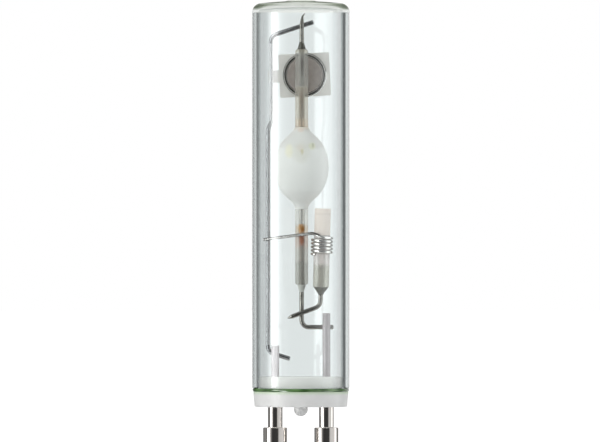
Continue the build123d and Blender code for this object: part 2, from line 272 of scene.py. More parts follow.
def useGroup(tree, light, dark, scale, smooth=0.3, rough=0.5, group=grainGroup):
    values = {"Light Colour": light, "Dark Colour": dark, "Scale": scale}
    values.update({"Smooth": smooth, "Rough": rough})
    return addNode(tree, "ShaderNodeGroup", values, node_tree=group).outputs


def newMaterial(name):
    looks[name] = bpy.data.materials.new(name)
    looks[name].use_nodes = True
    tree = looks[name].node_tree
    return tree, tree.nodes["Principled BSDF"], tree.nodes["Material Output"]


def addBump(tree, shader, height, strength, depth):
    values = {"Height": height, "Strength": strength, "Distance": depth * mm}
    feed(tree, shader, {"Normal": addNode(tree, "ShaderNodeBump", values).outputs["Normal"]})


def dress(tree, shader, grain, colour, bump, depth):
    feed(tree, shader, {"Base Color": colour, "Roughness": grain["Roughness"]})
    addBump(tree, shader, grain["Height"], bump, depth)


# Metals, powder, frit and milky glass

# Light and dark colour, smoothest and roughest, scale of the pattern, and bump. The nickel has
# drawn lines, the rest a mottle
metals = {
    "nickel": ((0.7, 0.67, 0.64), (0.64, 0.61, 0.58), 0.06, 0.12, 5.0, 0.03),
    "niobium": ((0.36, 0.345, 0.32), (0.29, 0.275, 0.25), 0.14, 0.24, 1.6, 0.06),
    "molybdenum": ((0.42, 0.36, 0.31), (0.3, 0.25, 0.2), 0.3, 0.45, 3.0, 0.1),
    "tungsten": ((0.3, 0.3, 0.31), (0.18, 0.18, 0.19), 0.3, 0.45, 4.0, 0.1),
    "frameSteel": ((0.4, 0.4, 0.41), (0.32, 0.32, 0.33), 0.12, 0.22, 1.5, 0.06),
    "aerialBright": ((0.82, 0.8, 0.78), (0.7, 0.68, 0.66), 0.08, 0.16, 2.0, 0.04),
    # painted shade: darker copies of the aerial wire's metal, for its straight run and its crest
    "aerialRun": ((0.3, 0.29, 0.28), (0.24, 0.23, 0.22), 0.1, 0.2, 2.0, 0.04),
    "aerialShade": ((0.2, 0.19, 0.18), (0.14, 0.13, 0.12), 0.3, 0.4, 2.0, 0.04),
}
# The same, then the weight of the gloss on it
minerals = {
    "stemMilk": ((0.84, 0.842, 0.84), (0.78, 0.785, 0.78), 0.3, 0.42, 1.5, 0.15, 0.15),
    "getterFill": ((0.4, 0.35, 0.325), (0.31, 0.27, 0.25), 0.5, 0.75, 1.6, 0.3, 0.0),
    "fritGrey": ((0.1, 0.095, 0.075), (0.055, 0.05, 0.04), 0.15, 0.35, 3.0, 0.15, 0.3),
    "fritPale": ((0.6, 0.6, 0.57), (0.46, 0.46, 0.43), 0.15, 0.35, 3.0, 0.15, 0.3),
}
# Dulled by the heat of the lamp's making: part metal, part satin film, with lighter and darker
# copies that are painted light and shade. Light and dark colour, smoothest and roughest, and the
# metal's share
satinSteels = {
    "getterSteel": ((0.98, 0.95, 0.91), (0.92, 0.89, 0.85), 0.34, 0.48, 0.12),
    "postSteel": ((0.56, 0.52, 0.54), (0.48, 0.445, 0.46), 0.42, 0.56, 0.4),
    # painted light and shade: a lighter copy of the frame wire's steel and a darker, shinier one
    "frameSatin": ((0.7, 0.7, 0.71), (0.6, 0.6, 0.61), 0.16, 0.26, 0.6),
    "frameRubbed": ((0.46, 0.46, 0.47), (0.38, 0.38, 0.39), 0.1, 0.2, 0.86),
    "getterRim": ((0.98, 0.96, 0.93), (0.93, 0.91, 0.88), 0.12, 0.2, 0.3),
    # a shinier copy of the rim for a painted glint, and a dark copy for painted shade
    "getterGlint": ((0.98, 0.97, 0.95), (0.94, 0.93, 0.91), 0.2, 0.3, 0.9),
    "getterGroove": ((0.1, 0.09, 0.075), (0.06, 0.055, 0.045), 0.4, 0.6, 0.3),
}


def makeFinish(name, light, dark, smooth, rough, scale, bump, depth=0.03, metal=0.0, coat=0.0):
    tree, shader, _ = newMaterial(name)
    group = drawnGroup if name == "nickel" else grainGroup
    grain = useGroup(tree, light, dark, scale, smooth, rough, group)
    dress(tree, shader, grain, grain["Colour"], bump, depth)
    feed(tree, shader, {"Metallic": metal})
    if coat:
        feed(tree, shader, {"Coat Weight": coat, "Coat Roughness": 0.15})


for name, row in metals.items():
    makeFinish(name, *row, depth=0.02, metal=1.0)
for name, (*row, coat) in minerals.items():
    makeFinish(name, *row, coat=coat)
for name, (*row, metal) in satinSteels.items():
    makeFinish(name, *row, scale=0.6, bump=0.12, metal=metal)


# Glass

glassLook = {
    "ior": 1.47,
    "shadow": (0.97, 0.98, 0.97),  # lamp light behind one wall
    "inside": (0.955, 0.97, 0.965),  # tint of each crossing of the inner skin
    # Painted shade on the outer skin, by how steeply it is met: clear in the middle, greyer where
    # the wall turns away, darkest beside the bore and light again at the very edge
    "outside": [
        (0.0, (0.86, 0.905, 0.905)), (0.22, (0.86, 0.905, 0.91)), (0.28, (0.58, 0.62, 0.63)),
        (0.345, (0.49, 0.515, 0.52)), (0.41, (0.455, 0.48, 0.485)), (0.475, (0.225, 0.25, 0.25)),
        (0.57, (0.25, 0.28, 0.275)), (0.63, (0.52, 0.56, 0.55)), (0.75, (0.47, 0.5, 0.49)),
        (0.88, (0.66, 0.69, 0.66)), (0.97, (0.8, 0.86, 0.78)),
    ],
    # The dome is nearly edge-on from the side. Its wall shows as a thin dark green line along the
    # crown and a thicker one round the knuckle, painted shade by how steeply the wall is met. Each
    # tint is for one crossing
    "crown": [
        (0.0, (0.9, 0.91, 0.89)), (0.905, (0.88, 0.895, 0.87)), (0.918, (0.5, 0.54, 0.47)),
        (0.93, (0.26, 0.3, 0.23)), (1.0, (0.2, 0.24, 0.18)),
    ],
    "knuckle": [
        (0.0, (0.88, 0.89, 0.88)), (0.46, (0.86, 0.875, 0.85)), (0.58, (0.5, 0.54, 0.47)),
        (0.7, (0.32, 0.36, 0.29)), (1.0, (0.3, 0.33, 0.27)),
    ],
    # painted shade: the dome's inner skin greyer where it is met edge-on
    "underCrown": [
        (0.0, (0.95, 0.96, 0.95)), (0.86, (0.93, 0.94, 0.935)), (0.93, (0.78, 0.8, 0.79)),
        (1.0, (0.55, 0.58, 0.56)),
    ],
    # Heights above the shoulder between which each tint takes over from the one below it
    "knuckleRise": (0.25, 0.7),
    "crownRise": (1.06, 1.11),
    "domeClear": 0.88,  # share of the light that passes the dome straight
}


def letLampsThrough(tree, shader, output, tint, least=0.0):
    # Shadow rays and diffuse bounces pass straight through, so that what is inside is lit
    path = addNode(tree, "ShaderNodeLightPath").outputs
    clear = addNode(tree, "ShaderNodeBsdfTransparent", {"Color": tint})
    either = mathNode(tree, "MAXIMUM", path["Is Shadow Ray"], path["Is Diffuse Ray"])
    passed = mixShader(tree, mathNode(tree, "MAXIMUM", either, least), shader, clear)
    feed(tree, output, {"Surface": passed.outputs[0]})


def newGlass(name):
    tree, shader, output = newMaterial(name)
    values = {"Transmission Weight": 1.0, "Roughness": 0.0, "IOR": glassLook["ior"]}
    feed(tree, shader, values)
    return tree, shader, output


def makeTubeGlass():
    for side in ("Outside", "Inside"):
        tree, shader, output = newGlass("glass" + side)
        tint = glassLook["inside"]
        if side == "Outside":
            # painted shade on the outer skin, by how steeply it is met
            facing = addNode(tree, "ShaderNodeLayerWeight").outputs["Facing"]
            tint = rampNode(tree, facing, glassLook["outside"])
        feed(tree, shader, {"Base Color": tint})
        letLampsThrough(tree, shader, output, glassLook["shadow"])


def makeDomeGlass(shoulder):
    # A wall met edge-on would carry light round and round, so most of it passes straight here
    for name, parts in (("glassDome", ("knuckle", "crown")), ("glassUnderDome", ())):
        tree, shader, output = newGlass(name)
        # painted shade by how steeply each skin is met
        facing = addNode(tree, "ShaderNodeLayerWeight").outputs["Facing"]
        tint = rampNode(tree, facing, glassLook["underCrown"])
        for part in parts:
            height = splitPoint(tree, objectPoint(tree))["Z"]
            low, high = glassLook[part + "Rise"]
            above = mapRange(tree, height, shoulder + low, shoulder + high, smooth=True)
            tint = mixColour(tree, above, tint, rampNode(tree, facing, glassLook[part]))
        feed(tree, shader, {"Base Color": tint})
        letLampsThrough(tree, shader, output, tint, glassLook["domeClear"])


sealLook = {"dark": (0.02, 0.068, 0.013), "pale": (0.11, 0.22, 0.075), "rough": 0.1, "coat": 0.5}


def makeSealGlass():
    # Fused green glass, dark with paler streaks
    tree, shader, _ = newMaterial("sealGlass")
    point = objectPoint(tree)
    streak = mapRange(tree, noiseNode(tree, point, 0.5), 0.35, 0.65)
    colour = mixColour(tree, streak, sealLook["dark"], sealLook["pale"])
    values = {"Base Color": colour, "Roughness": sealLook["rough"]}
    feed(tree, shader, {**values, "Coat Weight": sealLook["coat"]})
    addBump(tree, shader, noiseNode(tree, point, 2.5), 0.2, 0.05)


makeTubeGlass()
makeSealGlass()


# White plate

plateLook = {
    "light": (0.75, 0.753, 0.742),
    "dark": (0.7, 0.7, 0.69),
    "boss": (0.92, 0.91, 0.89),  # whiter inside the bulb
    "cast": (0.4, 0.6, 0.3),  # faint green from the fused ring, on the top edge
    "castDepth": 0.55,
    "castShare": 0.5,
}


def makeWhitePlate():
    tree, shader, _ = newMaterial("whitePlate")
    light, dark = plateLook["light"], plateLook["dark"]
    grain = useGroup(tree, light, dark, scale=0.7, smooth=0.32, rough=0.45)
    height = splitPoint(tree, objectPoint(tree))["Z"]
    ring = boxMm("bulb_seal_ring")[0].z
    start = ring - plateLook["castDepth"]
    near = mapRange(tree, height, start, ring, 0.0, plateLook["castShare"], smooth=True)
    outer = mapRange(tree, height, ring, ring + 0.05, 1.0, 0.0)
    green = mathNode(tree, "MULTIPLY", near, outer)
    colour = mixColour(tree, green, grain["Colour"], plateLook["cast"])
    boss = mathNode(tree, "GREATER_THAN", height, ring + 0.1)
    dress(tree, shader, grain, mixColour(tree, boss, colour, plateLook["boss"]), 0.08, 0.03)


makeWhitePlate()


# Dried salt: pale orange above, a red-brown crust below

saltLook = {
    "above": ((0.98, 0.7, 0.42), (0.85, 0.45, 0.18)),
    "below": ((0.8, 0.42, 0.28), (0.6, 0.25, 0.15)),
    "change": (27.5, 28.0),
}


def makeSalt():
    tree, shader, _ = newMaterial("saltOrange")
    grain = {"scale": 1.8, "smooth": 0.5, "rough": 0.8}
    above, below = (useGroup(tree, *saltLook[part], **grain) for part in ("above", "below"))
    height = splitPoint(tree, objectPoint(tree))["Z"]
    high = mapRange(tree, height, *saltLook["change"], smooth=True)
    dress(tree, shader, above, mixColour(tree, high, below["Colour"], above["Colour"]), 0.5, 0.06)


makeSalt()


# Translucent ceramics, with the deposits that show through their walls, and painted shade on the
# bulb

# The bulb's wall scatters and hides what is in it, and the necks let their rods show. The igniter
# tube is beige and dense over its solid head, clearer and greyer below, round its lead
ceramics = {
    "aluminaBulb": {
        "light": (0.985, 0.98, 0.96), "dark": (0.95, 0.945, 0.925), "scale": 0.8, "bump": 0.1,
        "clear": 0.08, "rough": 0.9, "ior": 1.15, "coatRough": 0.25,
    },
    "aluminaNeck": {
        "light": (0.9, 0.89, 0.86), "dark": (0.84, 0.83, 0.8), "scale": 0.8, "bump": 0.1,
        "clear": 0.76, "rough": 0.26, "ior": 1.12, "coatRough": 0.25, "shadow": (0.62, 0.6, 0.57),
    },
    "igniterHead": {
        "light": (0.98, 0.88, 0.82), "dark": (0.94, 0.84, 0.77), "scale": 1.2, "bump": 0.0,
        "clear": 0.08, "rough": 0.5, "ior": 1.35, "coatRough": 0.2,
    },
    "igniterSleeve": {
        "light": (0.9, 0.85, 0.83), "dark": (0.85, 0.8, 0.78), "scale": 1.2, "bump": 0.0,
        "clear": 0.72, "rough": 0.26, "ior": 1.35, "coatRough": 0.2, "shadow": (0.6, 0.57, 0.54),
    },
}
# Bands by height: lowest, highest, colour and strength. The bulb's shoulder and foot bands are
# painted shade, darker towards its top and bottom
bulbStainsAndShade = {
    # painted shade: the bulb darker round its shoulder and its foot
    "shoulder": (38.9, 42.6, (0.82, 0.8, 0.77), 0.55),
    "foot": (30.0, 33.4, (0.86, 0.84, 0.82), 0.4),
    "upperMouth": (41.2, 42.35, (0.78, 0.6, 0.42), 0.35),
}
neckStains = {
    "upperMouth": (41.3, 42.6, (0.85, 0.62, 0.4), 0.4),
    "upperNeck": (42.3, 46.6, (0.78, 0.7, 0.58), 0.5),
    "lowerMouth": (29.2, 32.0, (0.99, 0.98, 0.95), 0.8),
    "orangeSalt": (28.0, 29.05, (0.93, 0.68, 0.44), 0.3),
    "redSalt": (26.2, 28.0, (0.8, 0.5, 0.38), 0.3),
    "middleGrey": (24.4, 26.2, (0.72, 0.67, 0.63), 0.4),
    "lowerGrey": (20.5, 24.4, (0.5, 0.49, 0.45), 0.55),
    "upperGrey": (46.8, 51.0, (0.55, 0.54, 0.51), 0.35),
    "upperRim": (51.0, 52.0, (0.62, 0.56, 0.44), 0.5),
}
# Spots on the front: centre and size in X and Z, colour and strength
bulbSpots = [
    ((-0.1, 38.8), (0.5, 0.6), (0.9, 0.76, 0.68), 0.4),
    ((0.17, 38.4), (0.24, 0.44), (0.6, 0.52, 0.22), 0.62),
    ((1.36, 39.1), (0.5, 0.55), (0.84, 0.85, 0.6), 0.6),
    ((1.5, 39.2), (0.13, 0.4), (0.48, 0.47, 0.36), 0.5),
    ((-1.45, 38.5), (0.6, 1.0), (0.99, 0.95, 0.72), 0.6),
    ((0.0, 41.1), (0.45, 0.3), (0.8, 0.55, 0.42), 0.35),
    ((0.0, 38.3), (1.3, 1.5), (0.76, 0.74, 0.64), 0.42),
]
# Salt on the near side of the lower bore, and the rod behind the upper neck's wall
neckSpots = [
    ((0.02, 28.65), (0.56, 0.6), (0.95, 0.62, 0.3), 0.85),
    ((0.22, 28.55), (0.24, 0.34), (0.66, 0.3, 0.07), 0.85),
    ((0.12, 27.2), (0.34, 0.66), (0.74, 0.33, 0.2), 0.8),
    ((0.1, 45.0), (0.22, 1.5), (0.6, 0.5, 0.42), 0.5),
    ((0.14, 49.4), (0.24, 1.8), (0.3, 0.28, 0.27), 0.7),
]


def bandMask(tree, height, low, high, edge):
    rising = mapRange(tree, height, low - edge, low + edge, smooth=True)
    falling = mapRange(tree, height, high - edge, high + edge, 1.0, 0.0, smooth=True)
    return mathNode(tree, "MULTIPLY", rising, falling)


def spotMask(tree, point, centre, size):
    # A soft spot with a ragged edge
    where = splitPoint(tree, point)
    squares = []
    for label, middle, half in zip("XZ", centre, size):
        away = mathNode(tree, "DIVIDE", mathNode(tree, "SUBTRACT", where[label], middle), half)
        squares.append(mathNode(tree, "MULTIPLY", away, away))
    ragged = mathNode(tree, "MULTIPLY_ADD", noiseNode(tree, point, 4.0), 1.6, -0.8)
    away = mathNode(tree, "ADD", mathNode(tree, "ADD", *squares), ragged)
    soft = mapRange(tree, away, 0.0, 1.3, 1.0, 0.0, smooth=True)
    return mathNode(tree, "MULTIPLY", soft, mapRange(tree, where["Y"], -0.4, 0.0, 1.0, 0.0))


def stainAndShade(tree, colour, mask, strength, tint):
    return mixColour(tree, mathNode(tree, "MULTIPLY", mask, strength), colour, tint)


# Stains and painted shade on the burner, by height and in spots
def burnerStainsAndShade(bands, spots):
    def tint(tree, point, colour):
        wander = mathNode(tree, "SUBTRACT", noiseNode(tree, point, 1.4), 0.5)
        wander = mathNode(tree, "MULTIPLY", wander, 0.8)
        height = mathNode(tree, "ADD", splitPoint(tree, point)["Z"], wander)
        for low, high, shade, strength in bands.values():
            mask = bandMask(tree, height, low, high, 0.18)
            colour = stainAndShade(tree, colour, mask, strength, shade)
        for centre, size, shade, strength in spots:
            mask = spotMask(tree, point, centre, size)
            colour = stainAndShade(tree, colour, mask, strength, shade)
        return colour
    return tint


igniterStains = {
    "lid": (30.45, 30.52, (0.5, 0.42, 0.37), 0.4),
    "foot": (23.7, 24.3, (0.55, 0.56, 0.46), 0.6),
}


def stainIgniter(tree, point, colour):
    height = splitPoint(tree, point)["Z"]
    low, high, shade, strength = igniterStains["lid"]
    colour = stainAndShade(tree, colour, bandMask(tree, height, low, high, 0.05), strength, shade)
    low, high, shade, strength = igniterStains["foot"]
    foot = mapRange(tree, height, low, high, strength, 0.0, smooth=True)
    return mixColour(tree, foot, colour, shade)


def makeCeramic(name, tint):
    look = ceramics[name]
    tree, shader, output = newMaterial(name)
    grain = useGroup(tree, look["light"], look["dark"], look["scale"])
    feed(tree, shader, {
        "Base Color": tint(tree, objectPoint(tree), grain["Colour"]),
        "Roughness": look["rough"],
        "Transmission Weight": look["clear"],
        "IOR": look["ior"],
        "Coat Weight": 0.25,
        "Coat Roughness": look["coatRough"],
    })
    if look["bump"]:
        addBump(tree, shader, grain["Height"], look["bump"], 0.02)
    if "shadow" in look:
        letLampsThrough(tree, shader, output, look["shadow"])


makeCeramic("aluminaBulb", burnerStainsAndShade(bulbStainsAndShade, bulbSpots))
makeCeramic("aluminaNeck", burnerStainsAndShade(neckStains, neckSpots))
makeCeramic("igniterHead", stainIgniter)
makeCeramic("igniterSleeve", stainIgniter)
print("materials ready:", len(bpy.data.materials))


# Geometry Nodes trees

def geometryTree(name, inputs):
    shape = [("Geometry", "Geometry")]
    return groupTree(name, "GeometryNodeTree", shape + inputs, shape)


def sweepAndFinish(tree, source, result, path, **scale):
    # A round section along a path, then the tree's closing steps
    values = {"Resolution": source["Sides"], "Radius": source["Wire Radius"]}
    section = addNode(tree, "GeometryNodeCurvePrimitiveCircle", values).outputs["Curve"]
    values = {"Curve": path, "Profile Curve": section, "Fill Caps": True, **scale}
    swept = addNode(tree, "GeometryNodeCurveToMesh", values).outputs["Mesh"]
    for kind in ("SetShadeSmooth", "RealizeInstances", "SetMaterial"):
        last = addNode(tree, "GeometryNode" + kind, {"Geometry": swept})
        swept = last.outputs["Geometry"]
    feed(tree, last, {"Material": source["Material"]})
    feed(tree, result, {"Geometry": swept})


def makeWireTree():
    # A wire bent at its path's corners, with its end eased or pulled to a point
    tree, source, result = geometryTree("bentWire", [
        ("Wire Radius", "Float", 0.3 * mm),
        ("Bend Radius", "Float", 1.0 * mm),
        ("Step", "Float", 0.12 * mm),
        ("Sides", "Int", 20),
        ("Tip Length", "Float", 0.06 * mm),
        ("Tip Share", "Float", 0.75),
        ("Material", "Material"),
    ])
    values = {"Curve": source["Geometry"], "Radius": source["Bend Radius"]}
    values.update({"Count": 14, "Limit Radius": True})
    bend = addNode(tree, "GeometryNodeFilletCurve", values, mode="POLY").outputs["Curve"]
    values = {"Curve": bend, "Length": source["Step"]}
    even = addNode(tree, "GeometryNodeResampleCurve", values, mode="LENGTH").outputs["Curve"]
    along = addNode(tree, "GeometryNodeSplineParameter").outputs["Length"]
    whole = addNode(tree, "GeometryNodeSplineLength").outputs["Length"]
    left = mathNode(tree, "SUBTRACT", whole, along)
    taper = mapRange(tree, left, 0.0, source["Tip Length"], source["Tip Share"])
    sweepAndFinish(tree, source, result, even, Scale=taper)
    return tree


def makeWindingTree():
    # Fine wire wound on a rod
    tree, source, result = geometryTree("windingOnRod", [
        ("Wire Radius", "Float", 0.07 * mm),
        ("Winding Radius", "Float", 0.2 * mm),
        ("Turns", "Float", 2.5),
        ("Length", "Float", 0.45 * mm),
        ("Place", "Vector"),
        ("Steps A Turn", "Int", 18),
        ("Sides", "Int", 8),
        ("Material", "Material"),
    ])
    values = {"Resolution": source["Steps A Turn"], "Rotations": source["Turns"]}
    values.update({end + " Radius": source["Winding Radius"] for end in ("Start", "End")})
    values["Height"] = source["Length"]
    coil = addNode(tree, "GeometryNodeCurveSpiral", values).outputs["Curve"]
    values = {"Geometry": coil, "Translation": source["Place"]}
    moved = addNode(tree, "GeometryNodeTransform", values).outputs["Geometry"]
    sweepAndFinish(tree, source, result, moved)
    return tree


wireTree = makeWireTree()
windingTree = makeWindingTree()


def grownMesh(name, tree, data, values):
    # Runs a tree on a throwaway object and keeps the plain mesh that it makes
    host = link(bpy.data.objects.new(name + "Host", data))
    modifier = host.modifiers.new("grow", "NODES")
    modifier.node_group = tree
    for item in tree.interface.items_tree:
        if item.in_out == "INPUT" and item.name in values:
            modifier[item.identifier] = values[item.name]
    bpy.context.view_layer.update()
    graph = bpy.context.evaluated_depsgraph_get()
    mesh = bpy.data.meshes.new_from_object(host.evaluated_get(graph), depsgraph=graph)
    mesh.name = name
    bpy.data.objects.remove(host)
    bm = bmesh.new()
    bm.from_mesh(mesh)
    markSharp(bm, 50)
    bmesh.ops.recalc_face_normals(bm, faces=bm.faces)
    bm.to_mesh(mesh)
    bm.free()
    return mesh


def wireMesh(name, look, corners, radius, bend, step, sides=28, tipLength=0.06, tipShare=0.75):
    curve = bpy.data.curves.new(name + "Path", "CURVE")
    curve.dimensions = "3D"
    spline = curve.splines.new("POLY")
    spline.points.add(len(corners) - 1)
    for point, corner in zip(spline.points, corners):
        point.co = (*(Vector(corner) * mm), 1.0)
    values = {"Wire Radius": radius * mm, "Bend Radius": bend * mm, "Step": step * mm}
    values.update({"Sides": sides, "Tip Length": tipLength * mm, "Tip Share": tipShare})
    return grownMesh(name, wireTree, curve, {**values, "Material": looks[look]})


def windingMesh(name, look, rodRadius, wireRadius, turns, low, high, axis):
    # From height to height over the wire's outer edges, wound close where turns is None
    length = high - low - 2 * wireRadius
    place = Vector((*axis, low + wireRadius)) * mm
    values = {"Wire Radius": wireRadius * mm, "Winding Radius": (rodRadius + wireRadius) * mm}
    values.update({"Turns": turns or length / (2 * wireRadius), "Length": length * mm})
    values.update({"Place": tuple(place), "Material": looks[look]})
    return grownMesh(name, windingTree, bpy.data.meshes.new(name + "Seed"), values)


def joinMeshes(name, *meshes):
    bm = bmesh.new()
    for mesh in meshes:
        bm.from_mesh(mesh)
    joined = bpy.data.meshes.new(name)
    bm.to_mesh(joined)
    bm.free()
    return joined


# Outer bulb

bulb = {
    "wall": 0.8,
    "knuckle": 1.2,
    "crown": 45.0,
    "straight": 47.7,
    "tipRadius": 2.2,
    "tipRise": 0.5,
    "rows": (12, 24, 36),  # heights of the tube's rows above its foot
    "crownSteps": 40,
    "segments": 192,
}


def makeBulb():
    low, high = boxMm("outer_bulb")
    radius, foot = high.x, low.z
    bore = radius - bulb["wall"]
    shoulder = foot + bulb["straight"]
    makeDomeGlass(shoulder)

    def corner(reach, knuckle, crown):
        # One skin's rounded corner, and the centre of its crown
        centre = shoulder - math.sqrt((crown - knuckle) ** 2 - (reach - knuckle) ** 2)
        turn = 90 - math.degrees(math.asin((reach - knuckle) / (crown - knuckle)))
        return arcPoints(reach - knuckle, shoulder, knuckle, 0, turn, 14), centre

    def crownRows(edge, crown, tipRise):
        rows = []
        for step in range(1, bulb["crownSteps"] + 1):
            place = edge * (1 - step / bulb["crownSteps"])
            height = crownCentre + math.sqrt(crown**2 - place**2)
            if place < bulb["tipRadius"]:
                height += tipRise * 0.5 * (1 + math.cos(math.pi * place / bulb["tipRadius"]))
            rows.append((place, min(height, high.z)))
        return rows

    outer, crownCentre = corner(radius, bulb["knuckle"], bulb["crown"])
    inner, _ = corner(bore, bulb["knuckle"] - bulb["wall"], bulb["crown"] - bulb["wall"])
    outside = [(radius, foot + 0.12)] + [(radius, foot + row) for row in bulb["rows"]] + outer
    outside += crownRows(outer[-1][0], bulb["crown"], bulb["tipRise"])
    inside = [(bore, foot + 0.06)] + [(bore, foot + row) for row in bulb["rows"]] + inner
    inside += crownRows(inner[-1][0], bulb["crown"] - bulb["wall"], 0.0)
    rim = [(bore + 0.05, foot), (radius - 0.1, foot)]

    def lookAt(place, normal):
        # The outer and the inner skin of the tube, then those of the dome
        if place.z < shoulder:
            return int(place.to_2d().length < radius - bulb["wall"] / 2)
        return 2 + (normal.dot(place - Vector((0, 0, shoulder - 2))) < 0)

    mesh = turnedMesh("bulbShell", outside + inside[::-1] + rim, bulb["segments"])
    names = ("glassOutside", "glassInside", "glassDome", "glassUnderDome")
    addPiece(paintFaces(mesh, lookAt), "clear_glass", "outer_bulb", *names)


makeBulb()


# Seal, base plate and pump stem

base = {
    "boss": 5.36,
    "draft": 5.0,  # degrees that the flange's side leans
    "stemBore": 0.4,
    "stemDepth": 3.0,
    "segments": 160,
}


def makeBase():
    low, high = boxMm("bulb_seal_ring")
    radius, plateTop, boss = high.x, low.z, base["boss"]
    bead = [
        (boss, low.z),
        (radius - 0.14, low.z),
        (radius, (low.z + high.z) / 2, 0.12),
        (radius - 0.12, high.z),
        (boss, high.z),
    ]
    mesh = turnedMesh("sealBead", roundOutline(bead), base["segments"])
    addPiece(mesh, "green_seal_glass", "bulb_seal_ring", "sealGlass")
    low, high = boxMm("base_plate")
    foot = high.x - (plateTop - low.z) * math.tan(math.radians(base["draft"]))
    outline = [
        (0, low.z),
        (foot, low.z, 0.16),
        (high.x, plateTop, 0.06),
        (boss, plateTop),
        (boss, high.z, 0.22),
        (0, high.z),
    ]
    mesh = turnedMesh("basePlate", roundOutline(outline), base["segments"])
    addPiece(mesh, "white_plate", "base_plate", "whitePlate")
    low, high = boxMm("exhaust_stem")
    bore, floor = base["stemBore"], high.z - base["stemDepth"]
    outline = arcPoints(0, low.z + high.x, high.x, -90, 0, 14)
    outline += [(high.x, high.z), (bore, high.z), (bore, floor), (0, floor)]
    addPiece(turnedMesh("pumpStem", outline, 64), "stem_glass", "exhaust_stem", "stemMilk")


makeBase()


# Contact pins and lead posts

pin = {"headTop": 3.4, "neck": 0.95, "bore": 0.5, "boreDepth": 3.8}


def makePins():
    headTop, neck, bore = pin["headTop"], pin["neck"], pin["bore"]
    for side in ("left", "right"):
        low, high = boxMm("contact_pin_" + side)
        x = (low.x + high.x) / 2
        head = (high.x - low.x) / 2
        outline = [
            (0, low.z),
            (head, low.z, 0.2),
            (head, headTop, 0.12),
            (neck, headTop, 0.05),
            (neck, high.z),
            (bore, high.z),
            (bore, high.z - pin["boreDepth"]),
            (0, high.z - pin["boreDepth"]),
        ]
        mesh = turnedMesh("pin" + side.title(), roundOutline(outline), 96, (x, 0))
        addPiece(mesh, "nickel_plate", "contact_pin_" + side, "nickel")
        low, high = boxMm("lead_post_" + side)
        outline = [(0, low.z), (bore, low.z), (bore, high.z, 0.05), (0, high.z)]
        mesh = turnedMesh("post" + side.title(), roundOutline(outline), 48, (x, 0))
        addPiece(mesh, "post_wire", "lead_post_" + side, "postSteel")


makePins()
print("bulb, base and pins made")


# Burner: vessel, rods, electrodes, seals and salt

burner = {
    "offset": 0.1,
    "middle": 36.45,
    "radius": 3.45,
    "halfHeight": 4.6,
    "wall": 0.5,
    "slope": 1.1,
    "neckRadius": 0.825,
    "boreRadius": 0.36,
    "reach": 14.95,
    "junction": 1.0,
    "rim": 0.3,
    "segments": 96,
}


def vesselSkin(radius, halfHeight, neck, steps):
    # An oval cut off at its shoulders, and where their slope comes to the neck
    shoulder = math.atan2(burner["slope"] * halfHeight, radius)
    angles = [shoulder * (2 * step / steps - 1) for step in range(steps + 1)]
    points = [(radius * math.cos(angle), halfHeight * math.sin(angle)) for angle in angles]
    edge, height = points[-1]
    return points, height + (edge - neck) / burner["slope"]


def makeVessel():
    radius, halfHeight, wall = burner["radius"], burner["halfHeight"], burner["wall"]
    neck, rodBore, reach = burner["neckRadius"], burner["boreRadius"], burner["reach"]
    outside, junction = vesselSkin(radius, halfHeight, neck, 40)
    inside, bore = vesselSkin(radius - wall, halfHeight - wall, rodBore, 30)
    ease = burner["junction"] / 2
    start = Vector((neck + ease * burner["slope"], junction - ease))
    corner = Vector((neck, junction))
    end = Vector((neck, junction + ease))
    top = []
    for t in (step / 8 for step in range(9)):
        # A parabola that leaves the shoulder's slope and ends along the neck
        top.append(tuple(start * (1 - t) ** 2 + corner * 2 * t * (1 - t) + end * t**2))
    top += [(neck, junction + ease + (reach - junction - ease) * row / 4) for row in (1, 2, 3)]
    top += arcPoints(neck - burner["rim"], reach - burner["rim"], burner["rim"], 0, 90, 6)
    top += [(rodBore, reach), (rodBore, bore)]
    lower = [(place, -height) for place, height in reversed(top)]
    outline = outside + top + inside[::-1] + lower
    outline = [(place, height + burner["middle"]) for place, height in outline]
    mesh = turnedMesh("vesselShell", outline, burner["segments"], (burner["offset"], 0))

    def lookAt(place, normal):
        # The lower mouth stays milky a little further down than the upper one
        away = place.z - burner["middle"]
        return int(away > junction + ease * 0.6 or away < -junction - ease - 0.8)

    mesh = paintFaces(mesh, lookAt)
    addPiece(mesh, "translucent_alumina", "burner_vessel", "aluminaBulb", "aluminaNeck")


makeVessel()


def fritMesh(name, low, high, tubeRadius, leadRadius, sign, axis):
    # Melted frit: thick on the tube's end and drawn out along the lead, a little uneven
    steps = 14
    outline = [(0.05, low), (0.05, high)][::-sign]
    for t in (step / steps for step in range(steps + 1)):
        radius = leadRadius + (tubeRadius - leadRadius) * (1 - t) ** 1.2
        outline.append((radius, low + (high - low) * t if sign > 0 else high - (high - low) * t))
    mesh = turnedMesh(name, outline, 48, axis)
    for vertex in mesh.vertices:
        point = vertex.co / mm
        swell = 1 - 0.05 * (noise.noise(point * 2.2) + 0.5)
        away = Vector((point.x - axis[0], point.y - axis[1]))
        vertex.co.x = (axis[0] + away.x * swell) * mm
        vertex.co.y = (axis[1] + away.y * swell) * mm
    return mesh


rods = {
    "core": 0.17,
    "strand": 0.065,
    "electrode": 0.13,
    "coilCore": 0.14,
    "coilStrand": 0.075,
    "coilTurns": 2.5,
    "fritWide": 0.56,
    "fritThin": 0.3,
}


